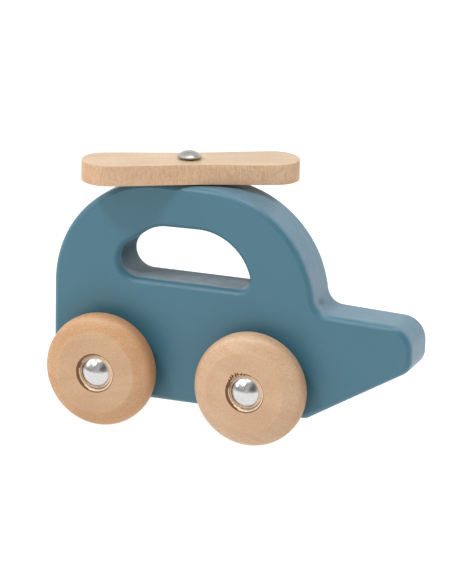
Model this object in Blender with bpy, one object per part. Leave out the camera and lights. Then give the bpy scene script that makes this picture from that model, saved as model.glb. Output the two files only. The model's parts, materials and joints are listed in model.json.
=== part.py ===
"""A wooden toy helicopter: a painted body with a carrying handle, a spinning rotor and four wheels.

Frame: the origin is on the floor, midway between nose and tail. +X runs towards the tail, +Z is up,
and the body's middle plane is y = 0. The left side, seen by someone riding in it, is -Y.
"""

import math

import bmesh
import bpy
from mathutils import Matrix

MM = 0.001  # metres in a millimetre

# Clearances
RUNNING_GAP = 0.3 * MM   # between surfaces that turn on each other
SEATED_GAP = 0.2 * MM    # between pieces that are fixed together

# Body: one board, cut to an outline and rounded along every edge
BODY_THICKNESS = 18.0 * MM
BODY_EDGE_RADIUS = 1.8 * MM
NOSE_X = -62.55 * MM
TAIL_X = 62.55 * MM
BELLY_Z = 8.45 * MM
BODY_CORNERS = [  # x, z, corner radius, anticlockwise seen from the left side
    (NOSE_X, BELLY_Z, 2.2 * MM),
    (27.1 * MM, BELLY_Z, 4.4 * MM),
    (TAIL_X, 29.4 * MM, 5.8 * MM),
    (TAIL_X, 43.5 * MM, 7.8 * MM),
    (29.3 * MM, 44.9 * MM, 5.6 * MM),
    (23.9 * MM, 82.0 * MM, 37.9 * MM),
    (NOSE_X, 83.1 * MM, 37.2 * MM),
]
HANDLE_CORNERS = [  # x, z, corner radius of the hand hole, clockwise
    (-52.3 * MM, 49.5 * MM, 6.3 * MM),
    (-27.2 * MM, 67.75 * MM, 13.0 * MM),
    (2.5 * MM, 68.25 * MM, 18.7 * MM),
    (7.6 * MM, 49.4 * MM, 3.75 * MM),
]

# Wheels and axles
WHEEL_RADIUS = 19.0 * MM
WHEEL_THICKNESS = 11.4 * MM
WHEEL_OUTER_Y = 21.2 * MM        # the outer face's distance from the body's middle plane
WHEEL_FACE_RADIUS = 13.4 * MM    # the flat part of each face
WHEEL_SHOULDER = 5.45 * MM       # how far the rounded rim reaches in from each face
WHEEL_BEVEL_ANGLE = math.radians(20)
WHEEL_BEVEL_PULL = 4.5 * MM      # how far the bevel keeps its slope before it curves
WHEEL_TREAD_PULL = 3.0 * MM      # how far the tread's line carries into the curve
COUNTERBORE_RADIUS = 6.4 * MM
COUNTERBORE_DEPTH = 2.4 * MM
COUNTERBORE_EASE = 0.3 * MM
AXLE_RADIUS = 2.5 * MM
AXLE_CHAMFER = 0.4 * MM
AXLE_PAST_CAP_BASE = 2.4 * MM    # how far an axle's end reaches up inside its cap
AXLE_MIDDLE_X = -15.9 * MM
WHEELBASE = 52.7 * MM
AXLE_X = {"front": AXLE_MIDDLE_X - WHEELBASE / 2, "rear": AXLE_MIDDLE_X + WHEELBASE / 2}
SIDE_Y = {"left": -1, "right": 1}

# Push-on caps: a domed shell crimped round a toothed washer
CAP_WALL = 0.45 * MM
CAP_EDGE_ROLL = 0.3 * MM
WASHER_THICKNESS = 0.4 * MM
WASHER_TEETH = 6
WASHER_TOOTH_SHARE = 0.6           # of each tooth's turn of the circle; the rest is the slot beside it
WASHER_SLANT_SHARE = 0.05          # the slant between a tooth and its slot
WASHER_SLOT_REACH = 0.5            # how far a slot reaches, from the teeth's tips towards the washer's edge
AXLE_CAP = {"radius": 5.6 * MM, "rim": 0.5 * MM, "dome": 3.65 * MM, "washer_radius": 4.85 * MM}
AXLE_CAP_BASE_Y = WHEEL_OUTER_Y - COUNTERBORE_DEPTH + RUNNING_GAP
ROTOR_CAP = {"radius": 4.0 * MM, "rim": 0.6 * MM, "dome": 1.6 * MM, "washer_radius": 2.9 * MM}

# Rotor: one blade with round ends and a slight waist, turning on a fixed pin
ROTOR_X = -18.3 * MM
ROTOR_ANGLE = math.radians(27.5)   # where the blade stands at rest
ROTOR_UNDERSIDE_Z = 82.95 * MM
ROTOR_THICKNESS = 6.75 * MM
ROTOR_HALF_LENGTH = 35.95 * MM
ROTOR_HALF_WIDTH = 9.8 * MM
ROTOR_END_LENGTH = 8.2 * MM        # the rounded end, along the blade
ROTOR_WAIST_DEPTH = 1.15 * MM
ROTOR_WAIST_HALF_SPAN = 28.6 * MM
ROTOR_EDGE_RADIUS = 0.25 * MM
ROTOR_BORE_OFFSET = 0.57 * MM        # along the blade, from its bore to its middle
ROTOR_END_PLAY = 0.6 * MM          # between the blade's top and the cap above it
PIN_RADIUS = 1.5 * MM
PIN_BARB = 0.2 * MM                # how far the grip rings stand out
PIN_CHAMFER = 0.5 * MM
PIN_TIP_Z = 72.5 * MM
PIN_HOLE_FLOOR_Z = 72.0 * MM
PIN_PAST_CAP_BASE = 1.0 * MM
PIN_BARB_SPACING = 2.4 * MM
PIN_BARB_COUNT = 3
PIN_BARB_SLOPE = 0.8 * MM          # the length of a grip ring's leading slope
PIN_BARB_BACK = 0.1 * MM           # the length of its steep back

# How finely round shapes are divided
WHEEL_SEGMENTS = 32
SMALL_SEGMENTS = 20
CORNER_STEP = math.radians(9)
EDGE_STEPS = 3
RIM_STEPS = 4
DOME_STEPS = 6
BLADE_STEPS = 12
WELD = 0.001 * MM
SMOOTH_ANGLE = math.radians(35)    # edges gentler than this are shaded smooth


# ---------------------------------------------------------------- outlines

def rounded_outline(corners):
    """Points round a polygon with rounded corners, each with the unit normal on the right of the path."""
    outline = []
    count = len(corners)
    for i, (x, z, radius) in enumerate(corners):
        before, after = corners[i - 1], corners[(i + 1) % count]
        heading_in = math.atan2(z - before[1], x - before[0])
        heading_out = math.atan2(after[1] - z, after[0] - x)
        turn = math.remainder(heading_out - heading_in, math.tau)
        side = math.copysign(1, turn)
        tangent = radius * math.tan(abs(turn) / 2)
        start = (x - tangent * math.cos(heading_in), z - tangent * math.sin(heading_in))
        swing = side * radius
        centre = (start[0] - swing * math.sin(heading_in), start[1] + swing * math.cos(heading_in))
        steps = max(1, math.ceil(abs(turn) / CORNER_STEP))
        for k in range(steps + 1):
            heading = heading_in + turn * k / steps
            normal = (math.sin(heading), -math.cos(heading))
            outline.append(((centre[0] + swing * normal[0], centre[1] + swing * normal[1]), normal))
    return outline


def circle(radius, segments, clockwise=False):
    """A circle's outline whose flats lie on the radius."""
    vertex_radius = radius / math.cos(math.pi / segments)
    way = -1 if clockwise else 1
    outline = []
    for k in range(segments):
        angle = way * math.tau * (k + 0.5) / segments
        normal = (way * math.cos(angle), way * math.sin(angle))
        outline.append(((vertex_radius * math.cos(angle), vertex_radius * math.sin(angle)), normal))
    return outline


def blade_outline():
    """The rotor's plan, anticlockwise: two waisted sides joined by half-ellipse ends."""
    straight = ROTOR_HALF_LENGTH - ROTOR_END_LENGTH
    half = []
    for k in range(BLADE_STEPS + 1):
        x = straight * (2 * k / BLADE_STEPS - 1)
        closeness = max(0.0, 1 - abs(x) / ROTOR_WAIST_HALF_SPAN)
        waist = ROTOR_WAIST_DEPTH * math.sin(math.pi / 2 * closeness) ** 2
        half.append((x, waist - ROTOR_HALF_WIDTH))
    for k in range(1, BLADE_STEPS):
        angle = math.pi * (k / BLADE_STEPS - 0.5)
        along = straight + ROTOR_END_LENGTH * math.cos(angle)
        half.append((along, ROTOR_HALF_WIDTH * math.sin(angle)))
    points = half + [(-x, -y) for x, y in half]
    outline = []
    for i, point in enumerate(points):
        before, after = points[i - 1], points[(i + 1) % len(points)]
        along = (after[0] - before[0], after[1] - before[1])
        length = math.hypot(*along)
        outline.append((point, (along[1] / length, -along[0] / length)))
    return outline


def toothed_hole(tooth_radius, slot_radius):
    """The washer's inner edge, clockwise: teeth that reach the shaft, with slots between them."""
    outline = []
    pitch = math.tau / WASHER_TEETH
    corners = (
        (0.0, tooth_radius),
        (WASHER_TOOTH_SHARE / 2, tooth_radius),
        (WASHER_TOOTH_SHARE, tooth_radius),
        (WASHER_TOOTH_SHARE + WASHER_SLANT_SHARE, slot_radius),
        (1 - WASHER_SLANT_SHARE, slot_radius),
    )
    for tooth in range(WASHER_TEETH):
        for share, radius in corners:
            angle = -pitch * (tooth + share)
            outline.append(((radius * math.cos(angle), radius * math.sin(angle)), (0.0, 0.0)))
    return outline


# ---------------------------------------------------------------- solids

def new_object(name, bm, material):
    """Turns a bmesh into a named object with its material, smooth across its gentle edges."""
    bmesh.ops.recalc_face_normals(bm, faces=bm.faces)
    mesh = bpy.data.meshes.new(name)
    bm.to_mesh(mesh)
    bm.free()
    mesh.shade_smooth()
    mesh.set_sharp_from_angle(angle=SMOOTH_ANGLE)
    mesh.materials.append(material)
    obj = bpy.data.objects.new(name, mesh)
    bpy.context.scene.collection.objects.link(obj)
    return obj


def slab(name, outlines, thickness, edge_radius, material):
    """A flat board between z = 0 and its thickness. The first outline is its outside, anticlockwise,
    and the others are holes, clockwise. Every edge is rounded by edge_radius."""
    steps = EDGE_STEPS if edge_radius else 0
    levels = []
    for k in range(steps + 1):
        angle = math.pi / 2 * k / max(1, steps)
        levels.append((edge_radius * (1 - math.sin(angle)), edge_radius * (1 - math.cos(angle))))
    levels += [(inset, thickness - height) for inset, height in reversed(levels)]
    bm = bmesh.new()
    rims = ([], [])
    for outline in outlines:
        rings = [
            [bm.verts.new((p[0] - n[0] * inset, p[1] - n[1] * inset, height)) for p, n in outline]
            for inset, height in levels
        ]
        for lower, upper in zip(rings, rings[1:]):
            for i in range(len(outline)):
                bm.faces.new((lower[i - 1], lower[i], upper[i], upper[i - 1]))
        for rim, ring in zip(rims, (rings[0], rings[-1])):
            rim += [bm.edges.get((ring[i - 1], ring[i])) for i in range(len(ring))]
    for rim in rims:
        bmesh.ops.triangle_fill(bm, use_beauty=True, edges=rim)
    return new_object(name, bm, material)


def turned(name, profile, segments, material):
    """A solid turned about Z from (radius, height) points. Its flats lie on the given radii, and one flat
    faces each of X and Y. A profile that starts on the axis ends there too; any other is a closed loop."""
    half_step = math.pi / segments
    bm = bmesh.new()
    verts = []
    for radius, height in profile:
        verts.append(bm.verts.new((radius, radius * math.tan(half_step), height)))
    edges = [bm.edges.new(pair) for pair in zip(verts, verts[1:])]
    if profile[0][0] > 0:
        edges.append(bm.edges.new((verts[-1], verts[0])))
    bmesh.ops.spin(bm, geom=verts + edges, cent=(0, 0, 0), axis=(0, 0, 1), angle=math.tau,
                   steps=segments, use_merge=True)
    bmesh.ops.remove_doubles(bm, verts=bm.verts, dist=WELD)
    return new_object(name, bm, material)


def cut(obj, name, radius, depth, location, rotation=(0, 0, 0)):
    """Bores a round hole into obj, from location along the cutter's own Z."""
    cutter = turned(name, [(0, 0), (radius, 0), (radius, depth), (0, depth)], SMALL_SEGMENTS, None)
    cutter.location = location
    cutter.rotation_euler = rotation
    cutter.hide_render = True
    cutter.display_type = "WIRE"
    boolean = obj.modifiers.new(name, "BOOLEAN")
    boolean.operation = "DIFFERENCE"
    boolean.object = cutter


def bezier(controls, steps):
    """Points along the cubic Bezier curve with these four control points, both ends included."""
    points = []
    for k in range(steps + 1):
        t = k / steps
        weights = ((1 - t) ** 3, 3 * t * (1 - t) ** 2, 3 * t * t * (1 - t), t ** 3)
        points.append(tuple(sum(w * p[axis] for w, p in zip(weights, controls)) for axis in (0, 1)))
    return points


def dome(radius, base, height, steps):
    """A spherical cap's profile, from its rim at (radius, base) up to the axis."""
    sphere = (radius ** 2 + height ** 2) / (2 * height)
    widest = math.asin(radius / sphere)
    profile = []
    for k in range(steps + 1):
        angle = widest * (1 - k / steps)
        profile.append((sphere * math.sin(angle), base + height - sphere * (1 - math.cos(angle))))
    return profile


def colour_material(name, colour, roughness, metallic=0.0):
    """A plain Principled material."""
    material = bpy.data.materials.new(name)
    material.use_nodes = True
    shader = material.node_tree.nodes["Principled BSDF"]
    shader.inputs["Base Color"].default_value = (*colour, 1)
    shader.inputs["Roughness"].default_value = roughness
    shader.inputs["Metallic"].default_value = metallic
    return material


def joint_line(name, location, rotation=(0, 0, 0)):
    """An empty on a joint's axis, for the pieces that turn about it."""
    empty = bpy.data.objects.new(name, None)
    empty.location = location
    empty.rotation_euler = rotation
    bpy.context.scene.collection.objects.link(empty)
    return empty


def place(obj, parent, height, flip=False):
    """Puts obj on its parent's Z axis at a height, turned to point the other way if flip is set."""
    obj.parent = parent
    obj.location = (0, 0, height)
    obj.rotation_euler = (math.pi if flip else 0, 0, 0)
    return obj


# ---------------------------------------------------------------- pieces

def make_body(material):
    """The painted board with its hand hole, two axle bores and the rotor pin's blind hole."""
    body = slab("helicopter_body", [rounded_outline(BODY_CORNERS), rounded_outline(HANDLE_CORNERS)],
                BODY_THICKNESS, BODY_EDGE_RADIUS, material)
    body.data.transform(Matrix.Rotation(math.pi / 2, 4, "X"))
    body.location = (0, BODY_THICKNESS / 2, 0)
    for end, x in AXLE_X.items():
        cut(body, f"{end}_axle_bore", AXLE_RADIUS + RUNNING_GAP, 2 * BODY_THICKNESS,
            (x, BODY_THICKNESS, WHEEL_RADIUS), (math.pi / 2, 0, 0))
    cut(body, "rotor_pin_hole", PIN_RADIUS + PIN_BARB + SEATED_GAP, ROTOR_UNDERSIDE_Z - PIN_HOLE_FLOOR_Z,
        (ROTOR_X, 0, PIN_HOLE_FLOOR_Z))
    return body


def make_wheel(name, material):
    """A turned wheel with its outer face at z = 0, and the rest of it below."""
    inner = -WHEEL_THICKNESS
    bore = AXLE_RADIUS + RUNNING_GAP
    face_end = (WHEEL_FACE_RADIUS, 0)
    bevel = (WHEEL_FACE_RADIUS + WHEEL_BEVEL_PULL * math.cos(WHEEL_BEVEL_ANGLE),
             -WHEEL_BEVEL_PULL * math.sin(WHEEL_BEVEL_ANGLE))
    tread = (WHEEL_RADIUS, WHEEL_TREAD_PULL - WHEEL_SHOULDER)
    outer_rim = bezier((face_end, bevel, tread, (WHEEL_RADIUS, -WHEEL_SHOULDER)), RIM_STEPS)
    inner_rim = [(radius, inner - height) for radius, height in reversed(outer_rim)]
    return turned(name, [
        (bore, -COUNTERBORE_DEPTH),
        (COUNTERBORE_RADIUS, -COUNTERBORE_DEPTH),
        (COUNTERBORE_RADIUS, -COUNTERBORE_EASE),
        (COUNTERBORE_RADIUS + COUNTERBORE_EASE, 0),
        *outer_rim,
        *inner_rim,
        (bore, inner),
    ], WHEEL_SEGMENTS, material)


def make_axle(name, material):
    """A plain steel rod, centred on z = 0, long enough to stand up inside both caps."""
    half = AXLE_CAP_BASE_Y + AXLE_PAST_CAP_BASE
    end = [(AXLE_RADIUS, half - AXLE_CHAMFER), (AXLE_RADIUS - AXLE_CHAMFER, half), (0, half)]
    start = [(radius, -height) for radius, height in reversed(end)]
    return turned(name, start + end, SMALL_SEGMENTS, material)


def make_cap(name, size, material):
    """The domed shell of a push-on cap, its open base at z = 0."""
    radius, rim = size["radius"], size["rim"]
    outside = dome(radius, rim, size["dome"], DOME_STEPS)
    inside = dome(radius - CAP_WALL, rim, size["dome"] - CAP_WALL, DOME_STEPS)
    outside_down = list(reversed(outside))
    return turned(name, [*outside_down, (radius, CAP_EDGE_ROLL), (radius - CAP_EDGE_ROLL, 0),
                         (radius - CAP_WALL, 0), *inside], SMALL_SEGMENTS, material)


def make_washer(name, size, shaft_radius, material):
    """The toothed spring washer held in a cap, which bites the shaft."""
    tooth = shaft_radius + SEATED_GAP
    slot = tooth + (size["washer_radius"] - tooth) * WASHER_SLOT_REACH
    outside = circle(size["washer_radius"], SMALL_SEGMENTS)
    return slab(name, [outside, toothed_hole(tooth, slot)], WASHER_THICKNESS, 0, material)


def make_blade(name, material):
    """The rotor blade with its underside at z = 0 and its bore's place at the origin."""
    blade = slab(name, [blade_outline()], ROTOR_THICKNESS, ROTOR_EDGE_RADIUS, material)
    blade.data.transform(Matrix.Translation((ROTOR_BORE_OFFSET, 0, 0)))
    return blade


def make_pin(name, material):
    """The rotor's fixed pin, from its tip at z = 0, with grip rings where it sits in the body."""
    length = rotor_cap_base() + PIN_PAST_CAP_BASE - PIN_TIP_Z
    profile = [(0, 0), (PIN_RADIUS - PIN_CHAMFER, 0), (PIN_RADIUS, PIN_CHAMFER)]
    for ring in range(PIN_BARB_COUNT):
        foot = PIN_CHAMFER + PIN_BARB_SPACING * (ring + 0.5)
        crest = foot + PIN_BARB_SLOPE
        profile += [(PIN_RADIUS, foot), (PIN_RADIUS + PIN_BARB, crest), (PIN_RADIUS, crest + PIN_BARB_BACK)]
    profile += [(PIN_RADIUS, length - PIN_CHAMFER), (PIN_RADIUS - PIN_CHAMFER, length), (0, length)]
    return turned(name, profile, SMALL_SEGMENTS, material)


def rotor_cap_base():
    """The height of the rotor cap's open base."""
    return ROTOR_UNDERSIDE_Z + ROTOR_THICKNESS + ROTOR_END_PLAY


def make_wheel_set(end, wood, steel, chrome):
    """One axle with its two wheels, caps and washers. The line's own Z points to the toy's right."""
    line = joint_line(f"{end}_axle_line", (AXLE_X[end], 0, WHEEL_RADIUS), (-math.pi / 2, 0, 0))
    place(make_axle(f"{end}_axle", steel), line, 0)
    for side, sign in SIDE_Y.items():
        flip = sign < 0
        name = f"{end}_{side}"
        place(make_wheel(f"{name}_wheel", wood), line, sign * WHEEL_OUTER_Y, flip)
        place(make_cap(f"{name}_axle_cap", AXLE_CAP, chrome), line, sign * AXLE_CAP_BASE_Y, flip)
        place(make_washer(f"{name}_cap_washer", AXLE_CAP, AXLE_RADIUS, steel), line,
              sign * (AXLE_CAP_BASE_Y + SEATED_GAP), flip)


def make_rotor(wood, steel, chrome):
    """The blade on its line, turned to its rest angle, and the fixed pin, cap and washer."""
    blade_line = joint_line("rotor_line", (ROTOR_X, 0, ROTOR_UNDERSIDE_Z), (0, 0, ROTOR_ANGLE))
    blade = place(make_blade("rotor_blade", wood), blade_line, 0)
    cut(blade, "rotor_bore", PIN_RADIUS + RUNNING_GAP, 3 * ROTOR_THICKNESS,
        (ROTOR_X, 0, ROTOR_UNDERSIDE_Z - ROTOR_THICKNESS))
    pin_line = joint_line("rotor_pin_line", (ROTOR_X, 0, 0))
    place(make_pin("rotor_pin", steel), pin_line, PIN_TIP_Z)
    place(make_cap("rotor_cap", ROTOR_CAP, chrome), pin_line, rotor_cap_base())
    washer = make_washer("rotor_cap_washer", ROTOR_CAP, PIN_RADIUS, steel)
    place(washer, pin_line, rotor_cap_base() + SEATED_GAP)


def main():
    for obj in list(bpy.data.objects):
        bpy.data.objects.remove(obj)
    paint = colour_material("blue_paint", (0.095, 0.205, 0.270), 0.5)
    wood = colour_material("beech", (0.63, 0.41, 0.26), 0.6)
    steel = colour_material("plain_steel", (0.5, 0.5, 0.5), 0.35, 1.0)
    chrome = colour_material("chrome_plate", (0.8, 0.8, 0.8), 0.08, 1.0)
    make_body(paint)
    for end in AXLE_X:
        make_wheel_set(end, wood, steel, chrome)
    make_rotor(wood, steel, chrome)


main()
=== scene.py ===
"""The looks of the wooden toy helicopter: fine meshes, materials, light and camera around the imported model.

Lengths are in metres. The nose points to -X, the left side faces -Y and +Z is up.
"""

import json
import math

import bmesh
import bpy
import numpy as np
from mathutils import Matrix, Vector, kdtree, noise


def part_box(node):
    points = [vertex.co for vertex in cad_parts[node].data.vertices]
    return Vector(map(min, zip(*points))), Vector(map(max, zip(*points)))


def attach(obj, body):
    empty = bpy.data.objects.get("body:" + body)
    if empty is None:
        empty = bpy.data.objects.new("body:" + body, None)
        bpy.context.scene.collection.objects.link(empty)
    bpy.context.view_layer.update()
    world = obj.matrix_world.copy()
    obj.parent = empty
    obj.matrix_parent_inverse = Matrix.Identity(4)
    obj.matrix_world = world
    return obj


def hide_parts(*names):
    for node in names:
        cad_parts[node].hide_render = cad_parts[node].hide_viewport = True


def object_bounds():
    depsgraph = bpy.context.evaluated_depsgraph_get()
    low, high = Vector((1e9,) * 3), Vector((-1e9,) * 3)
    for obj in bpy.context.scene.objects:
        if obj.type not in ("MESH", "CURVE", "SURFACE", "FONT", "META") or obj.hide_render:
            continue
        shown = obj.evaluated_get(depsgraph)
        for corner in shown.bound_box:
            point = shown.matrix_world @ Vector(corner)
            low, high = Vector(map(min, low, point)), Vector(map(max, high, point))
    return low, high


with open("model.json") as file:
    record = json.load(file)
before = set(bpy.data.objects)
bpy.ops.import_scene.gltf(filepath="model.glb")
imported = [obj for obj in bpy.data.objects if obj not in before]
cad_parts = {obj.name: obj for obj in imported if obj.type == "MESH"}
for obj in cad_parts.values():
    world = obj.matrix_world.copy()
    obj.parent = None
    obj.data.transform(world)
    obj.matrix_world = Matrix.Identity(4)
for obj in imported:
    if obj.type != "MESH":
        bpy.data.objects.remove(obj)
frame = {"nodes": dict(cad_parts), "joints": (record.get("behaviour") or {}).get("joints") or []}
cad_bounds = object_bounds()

MM = 0.001
ON_AXIS = 1e-7                       # a radius below this is a point on the axis
SHARP_ANGLE = math.radians(24)       # edges steeper than this stay sharp in the shading
WHEEL_SHARP_ANGLE = math.radians(9)

# ---------------------------------------------------------------- sizes that follow the frame

BODY_LOW, BODY_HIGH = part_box("helicopter_body")
BLADE_LOW, BLADE_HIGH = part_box("rotor_blade")
JOINTS = {joint["name"]: joint for joint in frame["joints"]}
PIN_X, PIN_Y = JOINTS["rotor_spin"]["pos_m"][:2]
ENDS = ("front", "rear")
SIDES = {"left": -1, "right": 1}
CENTRE = (cad_bounds[0] + cad_bounds[1]) / 2

# Body
NOSE_X, TAIL_X, BELLY_Z = BODY_LOW.x, BODY_HIGH.x, BODY_LOW.z
HALF_BOARD = BODY_HIGH.y
BODY_CORNERS = [                     # x, z and corner radius, anticlockwise seen from the left side
    (NOSE_X, BELLY_Z, 2.2 * MM),
    (TAIL_X - 35.45 * MM, BELLY_Z, 4.4 * MM),
    (TAIL_X, BELLY_Z + 20.95 * MM, 5.8 * MM),
    (TAIL_X, BELLY_Z + 35.05 * MM, 7.8 * MM),
    (TAIL_X - 33.25 * MM, BELLY_Z + 36.45 * MM, 5.6 * MM),
    (TAIL_X - 38.65 * MM, BELLY_Z + 73.55 * MM, 37.9 * MM),
    (NOSE_X, BELLY_Z + 74.65 * MM, 37.2 * MM),
]
HANDLE_CORNERS = [                   # the same of the hand hole, clockwise
    (NOSE_X + 10.25 * MM, BELLY_Z + 41.05 * MM, 6.3 * MM),
    (NOSE_X + 35.35 * MM, BELLY_Z + 59.3 * MM, 13.0 * MM),
    (NOSE_X + 65.05 * MM, BELLY_Z + 59.8 * MM, 18.7 * MM),
    (NOSE_X + 70.15 * MM, BELLY_Z + 40.95 * MM, 3.75 * MM),
]
ROUTED_RADIUS = 2.6 * MM             # the rounding cut along every edge
ROUTED_START = math.radians(21)      # the slope at which that rounding leaves the flat face
HAZE_SHEEN_EDGE = 0.9 * MM                 # how near to each face the sawn edge's hazy paint, partly a painted sheen, reaches
HAND_HAZE_SHEEN_EDGE = 2.2 * MM            # the same inside the hand hole
HAZE_SHEEN_FADE = 0.6 * MM                 # the width over which it fades out
OUTLINE_SPACING = 0.9 * MM
MIN_CORNER_STEPS = 4
WALL_STEPS = 26
ROUTED_STEPS = 9
WALL_RIPPLE = 0.03 * MM
RIPPLE_ALONG, RIPPLE_ACROSS = 90, 1400         # ripples per metre, along the outline and across the board
RIPPLE_ROUGHNESS, RIPPLE_OCTAVES = 0.8, 3
WALL_ONSET, ROUNDING_ONSET = 3, 8    # how soon each counts as such, as the surface turns from the flat face
UPWARD_LEAST, UPWARD_GAIN = 0.1, 1.1 # how much painted top light a steep wall gets, and how much more a level one does
DENT_AT = Vector((TAIL_X - 32.7 * MM, -2.4 * MM, BELLY_Z + 39.1 * MM))   # a nick behind the cabin
DENT_RADIUS = 1.3 * MM
DENT_STRETCH = (1, 0.38, 1)          # it runs across the board
DENT_DEPTH = 0.25 * MM
DENT_FULLNESS = 0.7                  # below 1, the nick has a broad floor

# Wheels and axles
RUNNING_GAP = 0.3 * MM
WHEEL_RADIUS = 19.0 * MM
FACE_RADIUS = 13.4 * MM              # of the flat middle of each side
SHOULDER = 5.45 * MM                 # how far below the face the tread is widest
BEVEL_ANGLE = math.radians(20)       # the slope at which the rim leaves the face
BEVEL_PULL = 4.5 * MM                # how far the rim's curve follows the bevel, and then the tread
TREAD_PULL = 3.0 * MM
RIM_STEPS = 22
COUNTERBORE_RADIUS = 6.4 * MM
COUNTERBORE_DEPTH = 2.4 * MM
COUNTERBORE_TAPER = 0.65 * MM        # how much narrower it is further in
TAPER_DEPTH = 1.0 * MM               # where it has reached that width
WALL_SHARES = (1.0, 0.8, 0.6, 0.4, 0.25, 0.18)  # how deep the rings of its wall lie, as shares of its depth
TORN_FACE = 1.6 * MM                 # from its edge to the face's nearest ring, clear of the torn edge
FACE_RINGS = (5 * MM, 3 * MM, 1 * MM)           # the face's other rings, inwards from its edge
BORE_EASE = 0.3 * MM                 # the rounding of a wheel's bored edges, and twice that of the body's
AXLE_RADIUS = 2.5 * MM
WHEEL_SEGMENTS = 240

# The drill's marks, a torn edge on the rear left wheel; below every counterbore's edge a dark ring of painted
# shade, where the gap round the cap lies in shadow, and deeper a pale tint of fresh wood that is partly
# painted light
TEAR_FROM, TEAR_TO = math.radians(98), math.radians(148)
TEAR_DEPTH = 0.85 * MM
TEAR_COUNT = 5.5
TEAR_WANDER = 3.0                    # how unevenly the bites are spaced, in radians
TEAR_WANDER_COUNT, TEAR_WANDER_PLACE = 7.0, 3.7
TEAR_FADE = 0.3 * MM                 # how quickly they fade into the face
TEAR_REACH = 1.3 * MM                # how far down the wall they go
DRILLED_RADIUS = COUNTERBORE_RADIUS + BORE_EASE + 1.1 * TEAR_DEPTH     # a little past the deepest bite
DRILLED_DEPTH = COUNTERBORE_DEPTH + 1 * MM
BITTEN_RADIUS, BITTEN_DEPTH = COUNTERBORE_RADIUS + 0.6 * BORE_EASE, 0.02 * MM    # beyond both, a bite's wall
# a dark ring of painted shade down each counterbore's wall, the shadow of the gap round the cap
SHADE_RING_FROM, SHADE_RING_TO = 0.01 * MM, 0.42 * MM
SHADE_RING_SIDE, SHADE_RING_EXTRA = math.radians(160), 0.55 * MM     # where the ring of painted shade reaches deeper, and by how much

# Caps
CAP_WALL = 0.45 * MM
CAP_EDGE_ROLL = 0.3 * MM
CAP_INNER_LIFT = 0.1 * MM            # from the base to the inside's lowest ring
AXLE_CAP_RIM = 0.5 * MM
ROTOR_CAP_RIM = 0.6 * MM
CAP_SEGMENTS = 128
DOME_STEPS = 28
DOME_POINT = 0.035                   # how much narrower than a sphere the middle of a dome is
WOOD_REFLECTION_TOP, WOOD_REFLECTION_FADE = 1.9 * MM, 0.9 * MM     # the axle caps' lower part, duller and tinted tan: a painted reflection of the wood round them

# Wood: the grain's direction across each wheel's face, and each piece's own tint.
# The wheels are in the order front left, front right, rear left, rear right.
WHEEL_GRAIN = [math.radians(angle) for angle in (12, 70, -20, 40)]
WHEEL_PLANK_STEP = (0.11, 0.07, 0.05)          # from one wheel's place in the plank to the next one's
BLADE_PLANK_PLACE = (0.5, 0.3, 0.2)
WHEEL_TONES = [(0.97, 0.94, 0.89), (1.0, 0.97, 0.93), (1.02, 1.01, 1.01), (0.96, 0.94, 0.9)]
BEVEL_TONES = [(0.95, 0.83, 0.69), (1.0, 0.93, 0.85), (1.01, 1.03, 1.06), (0.97, 0.9, 0.8)]
BEVEL_TINT_FADE = 1 * MM
BLADE_TONE = (1.10, 1.10, 1.10)
# the blade's top face is paler and bluer: a painted sheen
BLADE_TOP_SHEEN_TONE = (1.01, 1.13, 1.20)

# Rotor blade
BLADE_HALF_LENGTH = 35.95 * MM
BLADE_HALF_WIDTH = 9.8 * MM
BLADE_END_LENGTH = 8.2 * MM
BLADE_WAIST_DEPTH = 1.15 * MM
BLADE_WAIST_HALF_SPAN = 28.6 * MM
BLADE_ANGLE = math.radians(27.5)
BLADE_EDGE_RADIUS = 0.2 * MM
BLADE_SPACING = 0.7 * MM
BLADE_BORE_OFFSET = 0.57 * MM        # along the blade, from its bore to its middle

# Bores
PIN_BORE_RADIUS = 1.8 * MM
PIN_BORE_EASE = 0.2 * MM
PIN_HOLE_SPARE = 0.1 * MM            # how much wider than the blade's bore the body's hole for the pin is
PIN_HOLE_DEEPER = 0.5 * MM           # how far that hole goes past the pin's tip
PIN_CUTTER_LENGTH = 20 * MM          # far enough to come out of the roof
PIN_HOLE_SEGMENTS = 48
AXLE_BORE_SEGMENTS = 64
AXLE_CHAMFER = 0.4 * MM
ROD_SEGMENTS = 64

# Camera and lights
CAMERA_AZIMUTH = math.radians(20.317)
CAMERA_ELEVATION = math.radians(16.043)
CAMERA_ROLL = math.radians(1.249)
CAMERA_DISTANCE = 1.057
CAMERA_LENS_MM = 197.71
CAMERA_AIM = CENTRE + Vector((-4.5 * MM, 0, -0.31 * MM))
CAMERA_CLIP = (0.05, 20)
LIGHTS = {                           # direction, distance, width, height and power in watts
    "key_flash": ((-0.34, -0.51, 0.79), 1.1, 0.18, 0.18, 4.5),
    "left_strip": ((-0.74, -0.23, 0.60), 1.0, 0.22, 0.75, 2.7),
    "top_softbox": ((0.12, -0.12, 1.0), 1.1, 0.6, 0.35, 3.9),
}
FLOOR_SIZE = 4.0
FLOOR_GLOW = 0.92
BACKDROP_LEVEL = 1.08
BACKDROP_SIDE, BACKDROP_SLANT = (-0.25, 0.15), 0.25      # how far round it comes, and how much further at +X
BACKDROP_TOP = (0.80, 0.45)          # the height at which it ends, as a direction's Z
ROOM_LEVELS = (0.36, 0.72)           # of the patches of the grey room in front of the toy
ROOM_PATCHES = (3.2, 3.2, 3.2)
DARK_TOWARDS = Vector((0.75, -0.50, 0.42)).normalized()
DARK_EDGE = (0.86, 0.97)             # the cosines between which it sets in
DARK_LEVEL = 0.28                    # the share of the room's light that is left there


# ---------------------------------------------------------------- outlines and profiles

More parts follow.
